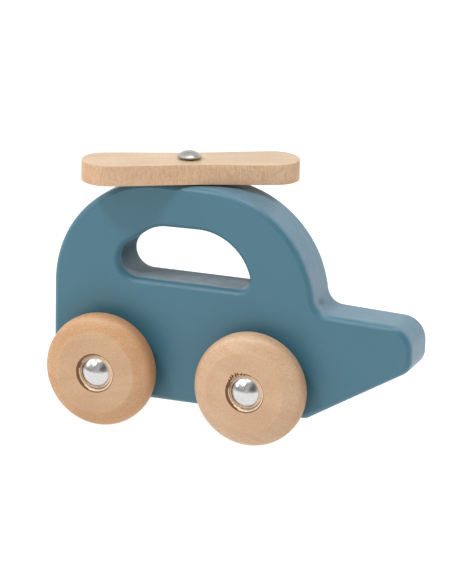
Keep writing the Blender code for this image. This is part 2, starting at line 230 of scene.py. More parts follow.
def rounded_outline(corners, spacing):
    """Points round a polygon with rounded corners, each with the unit normal on the right of the path."""
    outline = []
    count = len(corners)
    for i, (x, z, radius) in enumerate(corners):
        before, after = corners[i - 1], corners[(i + 1) % count]
        heading_in = math.atan2(z - before[1], x - before[0])
        heading_out = math.atan2(after[1] - z, after[0] - x)
        turn = math.remainder(heading_out - heading_in, math.tau)
        swing = math.copysign(1, turn) * radius
        tangent = radius * math.tan(abs(turn) / 2)
        start = (x - tangent * math.cos(heading_in), z - tangent * math.sin(heading_in))
        centre = (start[0] - swing * math.sin(heading_in), start[1] + swing * math.cos(heading_in))
        steps = max(MIN_CORNER_STEPS, math.ceil(abs(turn) * radius / spacing))
        for k in range(steps + 1):
            heading = heading_in + turn * k / steps
            normal = (math.sin(heading), -math.cos(heading))
            outline.append(((centre[0] + swing * normal[0], centre[1] + swing * normal[1]), normal))
    return fill_straights(outline, spacing)


def fill_straights(outline, spacing):
    """Adds evenly spaced points to an outline's straight runs."""
    filled = []
    for i, (point, normal) in enumerate(outline):
        before, before_normal = outline[i - 1]
        length = math.dist(before, point)
        steps = round(length / spacing)
        for k in range(1, steps):
            share = k / steps
            filled.append(tuple(tuple(a + (b - a) * share for a, b in zip(*pair))
                                for pair in ((before, point), (before_normal, normal))))
        filled.append((point, normal))
    return filled


def blade_outline(spacing):
    """The rotor's plan, anticlockwise: two waisted sides joined by half-ellipse ends."""
    straight = BLADE_HALF_LENGTH - BLADE_END_LENGTH
    half = []
    steps = round(2 * straight / spacing)
    for k in range(steps + 1):
        x = straight * (2 * k / steps - 1)
        closeness = max(0.0, 1 - abs(x) / BLADE_WAIST_HALF_SPAN)
        half.append((x, BLADE_WAIST_DEPTH * math.sin(math.pi / 2 * closeness) ** 2 - BLADE_HALF_WIDTH))
    steps = round(math.pi * BLADE_HALF_WIDTH / spacing)
    for k in range(1, steps):
        angle = math.pi * (k / steps - 0.5)
        half.append((straight + BLADE_END_LENGTH * math.cos(angle), BLADE_HALF_WIDTH * math.sin(angle)))
    points = half + [(-x, -y) for x, y in half]
    outline = []
    for i, point in enumerate(points):
        before, after = points[i - 1], points[(i + 1) % len(points)]
        along = (after[0] - before[0], after[1] - before[1])
        length = math.hypot(*along)
        outline.append((point, (along[1] / length, -along[0] / length)))
    return outline


def hole_outline(x, y, radius, segments):
    """A round hole's edge, clockwise."""
    outline = []
    for k in range(segments):
        angle = -math.tau * k / segments
        outline.append(((x + radius * math.cos(angle), y + radius * math.sin(angle)),
                        (-math.cos(angle), -math.sin(angle))))
    return outline


def edge_levels(thickness, radius, start_slope, edge_steps, wall_steps):
    """(inset, height) pairs across a board's edge: a rounding at each face and an even wall between them."""
    levels = []
    for k in range(edge_steps + 1):
        tilt = start_slope + (math.pi / 2 - start_slope) * k / edge_steps
        levels.append((radius * (1 - math.sin(tilt)), radius * (math.cos(start_slope) - math.cos(tilt))))
    depth = levels[-1][1]
    wall = [(0.0, depth + (thickness - 2 * depth) * k / wall_steps) for k in range(1, wall_steps)]
    return levels + wall + [(inset, thickness - height) for inset, height in reversed(levels)]


def bezier(p0, p1, p2, p3, steps):
    """Points along a cubic Bezier curve, both ends included."""
    points = []
    for k in range(steps + 1):
        t = k / steps
        weights = ((1 - t) ** 3, 3 * t * (1 - t) ** 2, 3 * t * t * (1 - t), t ** 3)
        points.append(tuple(sum(w * p[axis] for w, p in zip(weights, (p0, p1, p2, p3))) for axis in (0, 1)))
    return points


def arc(centre, radius, start, stop, steps):
    """Points along a circle's arc, both ends included; angles in degrees from the first axis."""
    angles = [math.radians(start + (stop - start) * k / steps) for k in range(steps + 1)]
    return [(centre[0] + radius * math.cos(a), centre[1] + radius * math.sin(a)) for a in angles]


def dome(radius, base, height, steps):
    """A pressed dome's profile, from its rim at (radius, base) to the axis, slimmer than a sphere."""
    sphere = (radius ** 2 + height ** 2) / (2 * height)
    widest = math.asin(radius / sphere)
    profile = []
    for k in range(steps + 1):
        angle = widest * (1 - k / steps)
        fullness = 1 - DOME_POINT * math.sin(math.pi * k / steps) ** 2
        profile.append((sphere * math.sin(angle) * fullness, base + height - sphere * (1 - math.cos(angle))))
    return profile


# ---------------------------------------------------------------- meshes

def new_piece(name, bm, material, sharp=SHARP_ANGLE):
    """Turns a bmesh into a named object with its material, smooth across its gentle edges."""
    bmesh.ops.recalc_face_normals(bm, faces=bm.faces)
    mesh = bpy.data.meshes.new(name)
    bm.to_mesh(mesh)
    bm.free()
    mesh.shade_smooth()
    mesh.set_sharp_from_angle(angle=sharp)
    mesh.materials.append(material)
    obj = bpy.data.objects.new(name, mesh)
    bpy.context.scene.collection.objects.link(obj)
    return obj


def board(name, outlines, levels, material):
    """A board in the XY plane from z = 0 up. The first outline is its outside, anticlockwise, and the others
    are holes, clockwise. levels holds one list of (inset, height) for each outline."""
    bm = bmesh.new()
    rims = ([], [])
    for outline, steps in zip(outlines, levels):
        rings = [
            [bm.verts.new((p[0] - n[0] * inset, p[1] - n[1] * inset, height)) for p, n in outline]
            for inset, height in steps
        ]
        for lower, upper in zip(rings, rings[1:]):
            for i in range(len(outline)):
                bm.faces.new((lower[i - 1], lower[i], upper[i], upper[i - 1]))
        for rim, ring in zip(rims, (rings[0], rings[-1])):
            rim += [bm.edges.get((ring[i - 1], ring[i])) for i in range(len(ring))]
    for rim in rims:
        bmesh.ops.triangle_fill(bm, use_beauty=True, edges=rim)
    return new_piece(name, bm, material)


def turned(name, profile, segments, material, shape=None, sharp=SHARP_ANGLE):
    """A solid turned about Z from (radius, height) points. shape may move each point: it takes the radius,
    height and angle, and returns a new radius and height."""
    bm = bmesh.new()
    rings = []
    for radius, height in profile:
        if radius < ON_AXIS:
            rings.append([bm.verts.new((0, 0, height))] * segments)
            continue
        ring = []
        for k in range(segments):
            angle = math.tau * k / segments
            r, h = shape(radius, height, angle) if shape else (radius, height)
            ring.append(bm.verts.new((r * math.cos(angle), r * math.sin(angle), h)))
        rings.append(ring)
    pairs = list(zip(rings, rings[1:]))
    if profile[0][0] > 0:
        pairs.append((rings[-1], rings[0]))
    for lower, upper in pairs:
        for k in range(segments):
            corners = (lower[k - 1], lower[k], upper[k], upper[k - 1])
            bm.faces.new(list(dict.fromkeys(corners)))
    return new_piece(name, bm, material, sharp)


def settle(obj, matrix):
    """Moves a piece's mesh into the row frame, with its object at the origin."""
    obj.data.transform(matrix)
    if matrix.determinant() < 0:
        obj.data.flip_normals()
    obj.data.update()
    return obj


def coordinates(mesh):
    """A mesh's vertices as an array."""
    flat = np.zeros(len(mesh.vertices) * 3, np.float32)
    mesh.vertices.foreach_get("co", flat)
    return flat.reshape(-1, 3).astype(float)


def normals(mesh):
    """A mesh's vertex normals as an array."""
    flat = np.zeros(len(mesh.vertices) * 3, np.float32)
    mesh.vertices.foreach_get("normal", flat)
    return flat.reshape(-1, 3).astype(float)


def put_attribute(mesh, name, values):
    """Stores one number or one vector for each vertex, for the materials to read."""
    values = np.asarray(values, np.float32)
    kind, field = ("FLOAT_VECTOR", "vector") if values.ndim == 2 else ("FLOAT", "value")
    mesh.attributes.new(name, kind, "POINT").data.foreach_set(field, values.ravel())


def put_timber(obj, local, offset, tone):
    """Marks where each vertex lies in the plank it was cut from: X along the grain and Z along the rays.
    It also marks how squarely the surface there cuts across the grain, and the piece's own tint."""
    mesh = obj.data
    inverse = np.array(local.inverted())
    points = coordinates(mesh) @ inverse[:3, :3].T + inverse[:3, 3]
    put_attribute(mesh, "timber", points + np.array(offset))
    put_attribute(mesh, "end_grain", np.abs((normals(mesh) @ inverse[:3, :3].T)[:, 0]))
    put_attribute(mesh, "tone", np.broadcast_to(tone, points.shape))


def apply_modifiers(obj):
    """Replaces a piece's mesh by its evaluated one."""
    evaluated = obj.evaluated_get(bpy.context.evaluated_depsgraph_get())
    made = bpy.data.meshes.new_from_object(evaluated)
    obj.modifiers.clear()
    obj.data = made


def area_weighted_normals(obj):
    """Keeps flat faces flat in the shading next to their roundings."""
    modifier = obj.modifiers.new("flat_faces", "WEIGHTED_NORMAL")
    modifier.keep_sharp = True
    apply_modifiers(obj)


# ---------------------------------------------------------------- node helpers

class Shader:
    """Adds nodes to one material or world. Inputs are numbers, colours or other nodes' outputs."""

    def __init__(self, name, tree=None, surface="Principled BSDF"):
        if tree is None:
            self.material = bpy.data.materials.new(name)
            self.material.use_nodes = True
            tree = self.material.node_tree
        self.tree = tree
        self.surface = tree.nodes[surface]

    def add(self, kind, output=0, settings=None, **inputs):
        node = self.tree.nodes.new(kind)
        for key, value in (settings or {}).items():
            setattr(node, key, value)
        for key, value in inputs.items():
            self.feed(node, int(key[1:]) if key[1:].isdigit() else key.replace("_", " "), value)
        return node.outputs[output]

    def feed(self, node, socket, value):
        if isinstance(value, bpy.types.NodeSocket):
            self.tree.links.new(value, node.inputs[socket])
        else:
            node.inputs[socket].default_value = value

    def finish(self, **inputs):
        for key, value in inputs.items():
            self.feed(self.surface, key.replace("_", " "), value)
        return getattr(self, "material", None)

    def attribute(self, name, output="Fac"):
        node = self.tree.nodes.new("ShaderNodeAttribute")
        node.attribute_name = name
        return node.outputs[output]

    def stretch(self, vector, scale):
        """Scales a position, so that noise read there has that many cells per metre along each axis."""
        return self.add("ShaderNodeVectorMath", settings={"operation": "MULTIPLY"}, i0=vector, i1=scale)

    def noise(self, vector, detail=2.0, roughness=0.5, distortion=0.0):
        return self.add("ShaderNodeTexNoise", Vector=vector, Scale=1.0, Detail=detail, Roughness=roughness,
                        Distortion=distortion)

    def math(self, operation, a, b=0.0, clamp=False):
        return self.add("ShaderNodeMath", settings={"operation": operation, "use_clamp": clamp}, i0=a, i1=b)

    def ramp(self, value, low, high, to_low=0.0, to_high=1.0):
        return self.add("ShaderNodeMapRange", settings={"interpolation_type": "SMOOTHSTEP"}, Value=value,
                        From_Min=low, From_Max=high, To_Min=to_low, To_Max=to_high)

    def mix(self, share, a, b, blend="MIX"):
        node = self.tree.nodes.new("ShaderNodeMix")
        node.data_type = "RGBA"
        node.blend_type = blend
        for socket, value in ((0, share), (6, a), (7, b)):
            self.feed(node, socket, value)
        return node.outputs[2]

    def bump(self, height, depth, below=None):
        inputs = {"Height": height, "Distance": depth, "Strength": 1.0}
        if below is not None:
            inputs["Normal"] = below
        return self.add("ShaderNodeBump", **inputs)


def grey(value):
    return (value, value, value, 1.0)


# ---------------------------------------------------------------- materials

# The paint on the flat faces, on the sawn edges where its haze is partly a painted sheen, inside the hand
# hole with painted light and painted shade, and in the nick
PAINT_COLOURS = {
    "deep": (0.046, 0.148, 0.204, 1),
    "light": (0.051, 0.158, 0.216, 1),
    "speck": (0.042, 0.138, 0.192, 1),
    "thick_haze_and_sheen": (0.094, 0.198, 0.268, 1),
    "thin_haze_and_sheen": (0.135, 0.242, 0.312, 1),
    "bare": (0.045, 0.065, 0.075, 1),
    "rubbed_and_lit": (0.250, 0.310, 0.340, 1),
    "painted_top_light": (0.330, 0.370, 0.390, 1),
    "hole_wall_shade": (0.020, 0.045, 0.060, 1),
    "dent": (0.045, 0.075, 0.095, 1),
}
# The wood's broad tones, its figure, where it is cut across the grain, and where it is drilled: a ring of
# painted shade and pale fresh wood that is partly painted light
WOOD_COLOURS = {
    "deep": (0.540, 0.340, 0.200, 1),
    "light": (0.610, 0.410, 0.255, 1),
    "blush": (0.600, 0.350, 0.220, 1),
    "ring": (0.500, 0.300, 0.165, 1),
    "fleck": (0.400, 0.215, 0.110, 1),
    "dash": (0.430, 0.240, 0.125, 1),
    "speck": (0.640, 0.460, 0.310, 1),
    "end_grain": (0.450, 0.245, 0.115, 1),
    "gap_shade_ring": (0.150, 0.060, 0.015, 1),
    "fresh_cut_painted_light": (0.96, 0.77, 0.58, 1),
}
# The plating, on the rotor's cap, and low on the axle caps, where a tan tint is a painted reflection of the
# wood round them
CHROME_COLOURS = {
    "bright": (0.62, 0.61, 0.60, 1),
    "haze": (0.55, 0.55, 0.55, 1),
    "dull": (0.50, 0.485, 0.465, 1),
    "painted_wood_reflection": (0.95, 0.80, 0.66, 1),
}


def blue_paint():
    """Satin paint on fibreboard: smooth on the flat faces, and thin and streaky on the sawn edges, paler
    there also as a painted sheen. Inside the hand hole, painted light on the parts that face up and painted
    shade on the steep walls.
    """
    s = Shader("blue_paint")
    shade = PAINT_COLOURS
    at = s.attribute("rest_at", "Vector")
    edge_at = s.attribute("edge_at", "Vector")
    wall = s.attribute("wall")
    hand = s.attribute("hand_wall")

    cloud = s.noise(s.stretch(at, (55, 55, 55)), detail=3)
    speck = s.noise(s.stretch(at, (2600, 2600, 2600)), detail=2)
    colour = s.mix(s.ramp(cloud, 0.3, 0.7), shade["deep"], shade["light"])
    colour = s.mix(s.ramp(speck, 0.35, 0.65, 0.0, 0.25), colour, shade["speck"])

    streak = s.noise(s.stretch(edge_at, (110, 1500, 1)), detail=4, roughness=0.6)
    patch = s.noise(s.stretch(edge_at, (240, 520, 1)), detail=5, roughness=0.6)
    # haze: the sawn edges' thin streaky paint, paler also as a painted sheen
    haze = s.mix(s.ramp(streak, 0.38, 0.66), shade["thick_haze_and_sheen"], shade["thin_haze_and_sheen"])
    # painted light: the hand hole is paler where it faces up
    painted_top_light = s.math("MULTIPLY", hand, s.attribute("upward"))
    colour = s.mix(s.math("MAXIMUM", wall, painted_top_light), colour, haze)
    bare = s.math("MULTIPLY", hand, s.ramp(patch, 0.40, 0.66))
    colour = s.mix(s.math("MULTIPLY", bare, 0.35), colour, shade["bare"])
    # patchy rubbed paint, only on the up-facing parts of the hand hole and painted paler there: partly
    # painted light
    rubbed_and_lit = s.math("MULTIPLY", painted_top_light, s.ramp(patch, 0.54, 0.36))
    colour = s.mix(s.math("MULTIPLY", rubbed_and_lit, 0.5), colour, shade["rubbed_and_lit"])
    colour = s.mix(s.math("MULTIPLY", painted_top_light, 0.58), colour, shade["painted_top_light"])
    # painted shade: the hand hole's walls that don't face up are darker
    hole_wall_shade = s.math("MULTIPLY", s.math("SUBTRACT", hand, painted_top_light), 0.75)
    colour = s.mix(hole_wall_shade, colour, shade["hole_wall_shade"])
    colour = s.mix(s.attribute("dent"), colour, shade["dent"])

    fine = s.math("MULTIPLY", s.ramp(speck, 0.3, 0.7), 0.05)
    rough = s.math("ADD", s.ramp(cloud, 0.3, 0.7, 0.30, 0.35), fine)
    rough = s.math("ADD", rough, s.math("MULTIPLY", hand, 0.5))
    rough = s.math("ADD", rough, s.math("MULTIPLY", s.attribute("rounding"), 0.12))
    thin = s.math("MULTIPLY", wall, s.ramp(streak, 0.42, 0.68, 0.0, 0.5))
    rough = s.math("ADD", rough, s.math("MULTIPLY", thin, 0.1), clamp=True)

    peel = s.noise(s.stretch(at, (900, 900, 900)), detail=2)
    grooves = s.math("MULTIPLY", s.noise(s.stretch(edge_at, (260, 3400, 1)), detail=3), wall)
    normal = s.bump(peel, 0.012 * MM)
    normal = s.bump(grooves, 0.10 * MM, normal)
    normal = s.bump(s.math("MULTIPLY", patch, hand), 0.14 * MM, normal)
    return s.finish(Base_Color=colour, Roughness=rough, Normal=normal)


def beech():
    """Fine-sanded beech: faint growth lines, short ray flecks along Z, and darker end grain."""
    s = Shader("beech")
    shade = WOOD_COLOURS
    at = s.attribute("timber", "Vector")
    end_grain = s.attribute("end_grain")

    tone = s.noise(s.stretch(at, (45, 110, 110)), detail=2)
    blush = s.noise(s.stretch(at, (95, 190, 190)), detail=2, distortion=0.3)
    rings = s.noise(s.stretch(at, (22, 420, 160)), detail=3, roughness=0.55)
    flecks = s.noise(s.stretch(at, (2900, 4200, 420)), detail=3, roughness=0.6)
    dashes = s.noise(s.stretch(at, (800, 3800, 1600)), detail=3, roughness=0.6)
    speck = s.noise(s.stretch(at, (2900, 2900, 2900)), detail=1)

    colour = s.mix(s.ramp(tone, 0.3, 0.7), shade["deep"], shade["light"])
    colour = s.mix(s.ramp(blush, 0.52, 0.75, 0.0, 0.5), colour, shade["blush"])
    colour = s.mix(s.ramp(rings, 0.50, 0.66, 0.0, 0.30), colour, shade["ring"])
    colour = s.mix(s.ramp(flecks, 0.47, 0.66, 0.0, 0.60), colour, shade["fleck"])
    colour = s.mix(s.ramp(dashes, 0.47, 0.66, 0.0, 0.50), colour, shade["dash"])
    colour = s.mix(s.ramp(speck, 0.45, 0.65, 0.0, 0.22), colour, shade["speck"])
    across = s.ramp(end_grain, 0.45, 0.95, 0.0, 0.55)
    colour = s.mix(across, colour, shade["end_grain"])
    colour = s.mix(1.0, colour, s.attribute("tone", "Color"), "MULTIPLY")
    # painted shade: a dark ring down the counterbore's wall
    colour = s.mix(s.math("MULTIPLY", s.attribute("gap_shade_ring"), 0.95), colour, shade["gap_shade_ring"])
    # fresh drilled wood, painted paler than the wood itself to lift the counterbore's shade: partly painted
    # light
    colour = s.mix(s.attribute("fresh_cut_painted_light"), colour, shade["fresh_cut_painted_light"])

    rough = s.math("ADD", s.ramp(rings, 0.3, 0.7, 0.38, 0.46), s.math("MULTIPLY", across, 0.15))
    normal = s.bump(flecks, 0.02 * MM)
    normal = s.bump(dashes, 0.03 * MM, normal)
    return s.finish(Base_Color=colour, Roughness=rough, Normal=normal)


def chrome_plate():
    """Bright plating on pressed steel, with faint pressing waves, duller on the rotor's cap; low on the axle
    caps' domes it is rougher, less metallic and tinted tan, a painted reflection of the wood.
    """
    s = Shader("chrome_plate")
    shade = CHROME_COLOURS
    at = s.attribute("rest_at", "Vector")
    wave = s.noise(s.stretch(at, (150, 150, 150)), detail=1)
    haze = s.noise(s.stretch(at, (1500, 1500, 1500)), detail=4)
    colour = s.mix(s.ramp(haze, 0.4, 0.7), shade["bright"], shade["haze"])
    dullness = s.attribute("dullness")
    painted_wood_reflection = s.attribute("painted_wood_reflection")
    colour = s.mix(dullness, colour, shade["dull"])
    # painted reflection: the axle caps' lower part takes the wood's tan colour
    colour = s.mix(painted_wood_reflection, colour, shade["painted_wood_reflection"])
    rough = s.math("ADD", s.ramp(haze, 0.35, 0.75, 0.20, 0.25), s.math("MULTIPLY", dullness, 0.14))
    rough = s.math("ADD", rough, s.math("MULTIPLY", painted_wood_reflection, 0.3))
    metallic = s.ramp(painted_wood_reflection, 0, 1, 1.0, 0.35)
    return s.finish(Base_Color=colour, Roughness=rough, Metallic=metallic, Normal=s.bump(wave, 0.012 * MM))


def plain_steel():
    """Drawn steel rod and spring steel, grey with fine lines."""
    s = Shader("plain_steel")
    at = s.attribute("rest_at", "Vector")
    lines = s.noise(s.stretch(at, (3000, 200, 3000)), detail=3)
    colour = s.mix(s.ramp(lines, 0.3, 0.7), grey(0.42), grey(0.58))
    return s.finish(Base_Color=colour, Roughness=s.ramp(lines, 0.3, 0.7, 0.28, 0.42), Metallic=1.0,
                    Normal=s.bump(lines, 0.01 * MM))


MATERIALS = {
    "blue_paint": blue_paint(),
    "beech": beech(),
    "chrome_plate": chrome_plate(),
    "plain_steel": plain_steel(),
}


# ---------------------------------------------------------------- pieces

def finish_piece(obj, slot, body, *nodes):
    """Marks the piece's rest position and puts it on its body instead of its CAD nodes. Its slot argument is
    not used.
    """
    put_attribute(obj.data, "rest_at", coordinates(obj.data))
    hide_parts(*nodes)
    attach(obj, body)


def nearest_on_outlines(points, outlines):
    """For each point, how far along the nearest outline it lies, and 1 where that is the hand hole's."""
    tree = kdtree.KDTree(sum(len(outline) for outline in outlines))
    along, hand = [], []
    for is_hand, outline in enumerate(outlines):
        distance = 0.0
        for i, (point, _) in enumerate(outline):
            distance += math.dist(point, outline[i - 1][0])
            tree.insert((point[0], 0, point[1]), len(along))
            along.append(distance + is_hand)
            hand.append(is_hand)
    tree.balance()
    nearest = [tree.find((x, 0, z))[1] for x, _, z in points]
    return np.array([along[i] for i in nearest]), np.array([hand[i] for i in nearest], float)


def ripple_walls(obj, outlines):
    """Marks the board's sawn walls for the paint and gives them the cutter's shallow ripple and one dent."""
    mesh = obj.data
    points, facing = coordinates(mesh), normals(mesh)
    along, on_hand = nearest_on_outlines(points, outlines)
    off_face = 1 - np.abs(facing[:, 1])
    reach = HALF_BOARD - np.where(on_hand > 0, HAND_HAZE_SHEEN_EDGE, HAZE_SHEEN_EDGE)
    past_reach = (np.abs(points[:, 1]) - reach) / HAZE_SHEEN_FADE
    wall = np.clip(-past_reach, 0, 1) * np.clip(off_face * WALL_ONSET, 0, 1)
    rounding = np.clip(past_reach, 0, 1) * np.clip(off_face * ROUNDING_ONSET, 0, 1)
    places = [Vector((s * RIPPLE_ALONG, y * RIPPLE_ACROSS, 0)) for s, y in zip(along, points[:, 1])]
    wave = [noise.fractal(place, RIPPLE_ROUGHNESS, 2.0, RIPPLE_OCTAVES) for place in places]
    inwards = np.clip(np.array(wave), -1, 1) - 1
    from_dent = np.linalg.norm((points - np.array(DENT_AT)) * DENT_STRETCH, axis=1) / DENT_RADIUS
    dent = np.clip(1 - from_dent, 0, 1) ** DENT_FULLNESS
    points += facing * (wall * inwards * WALL_RIPPLE - dent * DENT_DEPTH)[:, None]
    mesh.vertices.foreach_set("co", points.astype(np.float32).ravel())
    mesh.update()
    put_attribute(mesh, "edge_at", np.stack([along, points[:, 1], on_hand], 1))
    put_attribute(mesh, "wall", wall * (1 - on_hand))
    put_attribute(mesh, "hand_wall", wall * on_hand)
    # how much painted top light each vertex gets, from how much it faces up
    put_attribute(mesh, "upward", np.clip(UPWARD_LEAST + UPWARD_GAIN * facing[:, 2], 0, 1))
    put_attribute(mesh, "rounding", rounding)
    put_attribute(mesh, "dent", dent)


def drill_pin_hole(obj):
    """Cuts the rotor pin's hole down through the board's roof."""
    radius = PIN_BORE_RADIUS + PIN_HOLE_SPARE
    profile = [(0, 0), (radius, 0), (radius, PIN_CUTTER_LENGTH), (0, PIN_CUTTER_LENGTH)]
    cutter = turned("pin_hole_cutter", profile, PIN_HOLE_SEGMENTS, None)
    cutter.location = (PIN_X, PIN_Y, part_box("rotor_pin")[0].z - PIN_HOLE_DEEPER)
    boolean = obj.modifiers.new("pin_hole", "BOOLEAN")
    boolean.object = cutter
    apply_modifiers(obj)
    bpy.data.objects.remove(cutter)


def make_body():
    """The painted board, with its hand hole, its axle bores and the rotor pin's hole."""
    thickness = 2 * HALF_BOARD
    outside = rounded_outline(BODY_CORNERS, OUTLINE_SPACING)
    handle = rounded_outline(HANDLE_CORNERS, OUTLINE_SPACING)
    bores = []
    for end in ENDS:
        x, _, z = JOINTS[f"{end}_axle_turn"]["pos_m"]
        bores.append(hole_outline(x, z, AXLE_RADIUS + RUNNING_GAP, AXLE_BORE_SEGMENTS))
    routed = edge_levels(thickness, ROUTED_RADIUS, ROUTED_START, ROUTED_STEPS, WALL_STEPS)
    drilled = edge_levels(thickness, BORE_EASE / 2, 0, 2, 2)
    levels = [routed, routed, drilled, drilled]
    obj = board("body_board", [outside, handle, *bores], levels, MATERIALS["blue_paint"])
    settle(obj, Matrix.Translation((0, HALF_BOARD, 0)) @ Matrix.Rotation(math.pi / 2, 4, "X"))
    drill_pin_hole(obj)
    ripple_walls(obj, [outside, handle])
    area_weighted_normals(obj)
    finish_piece(obj, "blue_paint", "body", "helicopter_body")


def wheel_profile(thickness):
    """A wheel's section, its outer face at height 0: (radius, height) points up the bore and the counterbore,
    out across the face, round the rim and back across the inner side."""
    bore = AXLE_RADIUS + RUNNING_GAP
    floor = -COUNTERBORE_DEPTH
    bevel = (FACE_RADIUS + BEVEL_PULL * math.cos(BEVEL_ANGLE), -BEVEL_PULL * math.sin(BEVEL_ANGLE))
    rim = bezier((FACE_RADIUS, 0), bevel, (WHEEL_RADIUS, TREAD_PULL - SHOULDER), (WHEEL_RADIUS, -SHOULDER),
                 RIM_STEPS)
    outer = [(FACE_RADIUS - inset, 0) for inset in FACE_RINGS] + rim
    inner = [(radius, -thickness - height) for radius, height in reversed(outer)]
    eased = arc((COUNTERBORE_RADIUS + BORE_EASE, -BORE_EASE), BORE_EASE, 180, 90, 5)
    wall = []
    for share in WALL_SHARES:
        narrower = COUNTERBORE_TAPER * min(1, share * COUNTERBORE_DEPTH / TAPER_DEPTH)
        wall.append((COUNTERBORE_RADIUS - narrower, floor * share))
    return [
        (bore, -thickness + BORE_EASE), (bore, floor - BORE_EASE), (bore + BORE_EASE, floor),
        *wall, *eased, (COUNTERBORE_RADIUS + TORN_FACE, 0),
        *outer, *inner, (bore + BORE_EASE, -thickness),
    ]


def torn_bore():
    """The shape of a wheel whose counterbore's edge is moved outwards where the drill tore it."""
    def shape(radius, height, angle):
        past_edge = max(0.0, radius - COUNTERBORE_RADIUS - BORE_EASE) / TEAR_FADE
        near = math.exp(-past_edge ** 2) if height > -TEAR_REACH else 0.0
        share = (angle % math.tau - TEAR_FROM) / (TEAR_TO - TEAR_FROM)
        if near < 0.05 or not 0 < share < 1:
            return radius, height
        wander = noise.noise(Vector((share * TEAR_WANDER_COUNT, TEAR_WANDER_PLACE, 0.0)))
        wave = math.sin(TEAR_COUNT * math.tau * share + TEAR_WANDER * wander)
        bite = min(1.0, max(0.0, 0.5 + wave)) * math.sin(math.pi * share) ** 0.5
        return radius + TEAR_DEPTH * bite * near, height
    return shape


def mark_drilling(obj, is_torn):
    """Marks a wheel's freshly drilled wood, tinted pale as partly painted light, and a dark ring of painted
    shade below the counterbore's edge, before the wheel is settled.
    """
    points = coordinates(obj.data)
    radius, depth = np.linalg.norm(points[:, :2], axis=1), -points[:, 2]
    in_bore = radius < DRILLED_RADIUS
    # the ring of painted shade reaches deeper on the side that lies in shadow
    lean = np.clip(np.cos(np.arctan2(points[:, 1], points[:, 0]) - SHADE_RING_SIDE), 0, 1)
    shade_ring_to = SHADE_RING_TO + SHADE_RING_EXTRA * lean
    torn_wall = is_torn & (radius > BITTEN_RADIUS) & (depth > BITTEN_DEPTH)
    put_attribute(obj.data, "gap_shade_ring", in_bore & (depth < shade_ring_to) & ((depth > SHADE_RING_FROM) | torn_wall))
    # the pale drilled wood below the ring, partly painted light
    put_attribute(obj.data, "fresh_cut_painted_light", in_bore & (depth >= shade_ring_to) & (depth < DRILLED_DEPTH))


def wheel_tints(obj, number):
    """The wheel's own tint at each vertex, changing from its face to its bevelled rim."""
    radius = np.linalg.norm(coordinates(obj.data)[:, :2], axis=1)
    bevelled = np.clip((radius - FACE_RADIUS) / BEVEL_TINT_FADE, 0, 1)[:, None]
    return np.array(WHEEL_TONES[number]) * (1 - bevelled) + np.array(BEVEL_TONES[number]) * bevelled


def make_wheels():
    """The four turned wheels, each cut from its own place in the plank."""
    for number, (end, side) in enumerate((e, s) for e in ENDS for s in SIDES):
        sign = SIDES[side]
        node = f"{end}_{side}_wheel"
        low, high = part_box(node)
        outer_y = low.y if sign < 0 else high.y
        x, _, z = JOINTS[f"{end}_axle_turn"]["pos_m"]
        is_torn = end == "rear" and side == "left"
        shape = torn_bore() if is_torn else None
        obj = turned(f"{node}_wood", wheel_profile(high.y - low.y), WHEEL_SEGMENTS, MATERIALS["beech"],
                     shape, WHEEL_SHARP_ANGLE)
        mark_drilling(obj, is_torn)
        tints = wheel_tints(obj, number)
        local = Matrix.Translation((x, outer_y, z)) @ Matrix.Rotation(-sign * math.pi / 2, 4, "X")
        settle(obj, local)
        area_weighted_normals(obj)
        grain = local @ Matrix.Rotation(WHEEL_GRAIN[number], 4, "Z")
        put_timber(obj, grain, [number * step for step in WHEEL_PLANK_STEP], tints)
        finish_piece(obj, "beech", node, node)


def make_blade():
    """The rotor blade, with softened edges."""
    thickness = BLADE_HIGH.z - BLADE_LOW.z
    outline = [((x + BLADE_BORE_OFFSET, y), normal) for (x, y), normal in blade_outline(BLADE_SPACING)]
    bore = hole_outline(0, 0, PIN_BORE_RADIUS, PIN_HOLE_SEGMENTS)
    softened = edge_levels(thickness, BLADE_EDGE_RADIUS, 0, 5, 10)
    drilled = edge_levels(thickness, PIN_BORE_EASE, 0, 2, 2)
    obj = board("rotor_blade_wood", [outline, bore], [softened, drilled], MATERIALS["beech"])
    local = Matrix.Translation((PIN_X, PIN_Y, BLADE_LOW.z)) @ Matrix.Rotation(BLADE_ANGLE, 4, "Z")
    settle(obj, local)
    area_weighted_normals(obj)
    on_top = (coordinates(obj.data)[:, 2] > BLADE_HIGH.z - 0.5 * BLADE_EDGE_RADIUS)[:, None]
    # painted sheen on the top face
    put_timber(obj, local, BLADE_PLANK_PLACE, np.where(on_top, BLADE_TOP_SHEEN_TONE, BLADE_TONE))
    finish_piece(obj, "beech", "rotor", "rotor_blade")


def cap_profile(radius, rim, height):
    """A push-on cap's section: a dome with a rolled rim, its open base at height 0."""
    outside = dome(radius, rim, height - rim, DOME_STEPS)
    inside = dome(radius - CAP_WALL, rim, height - rim - CAP_WALL, DOME_STEPS)
    roll = arc((radius - CAP_EDGE_ROLL, CAP_EDGE_ROLL), CAP_EDGE_ROLL, 0, -90, 6)
    return [*reversed(outside), *roll, (radius - CAP_WALL, CAP_INNER_LIFT), *inside]


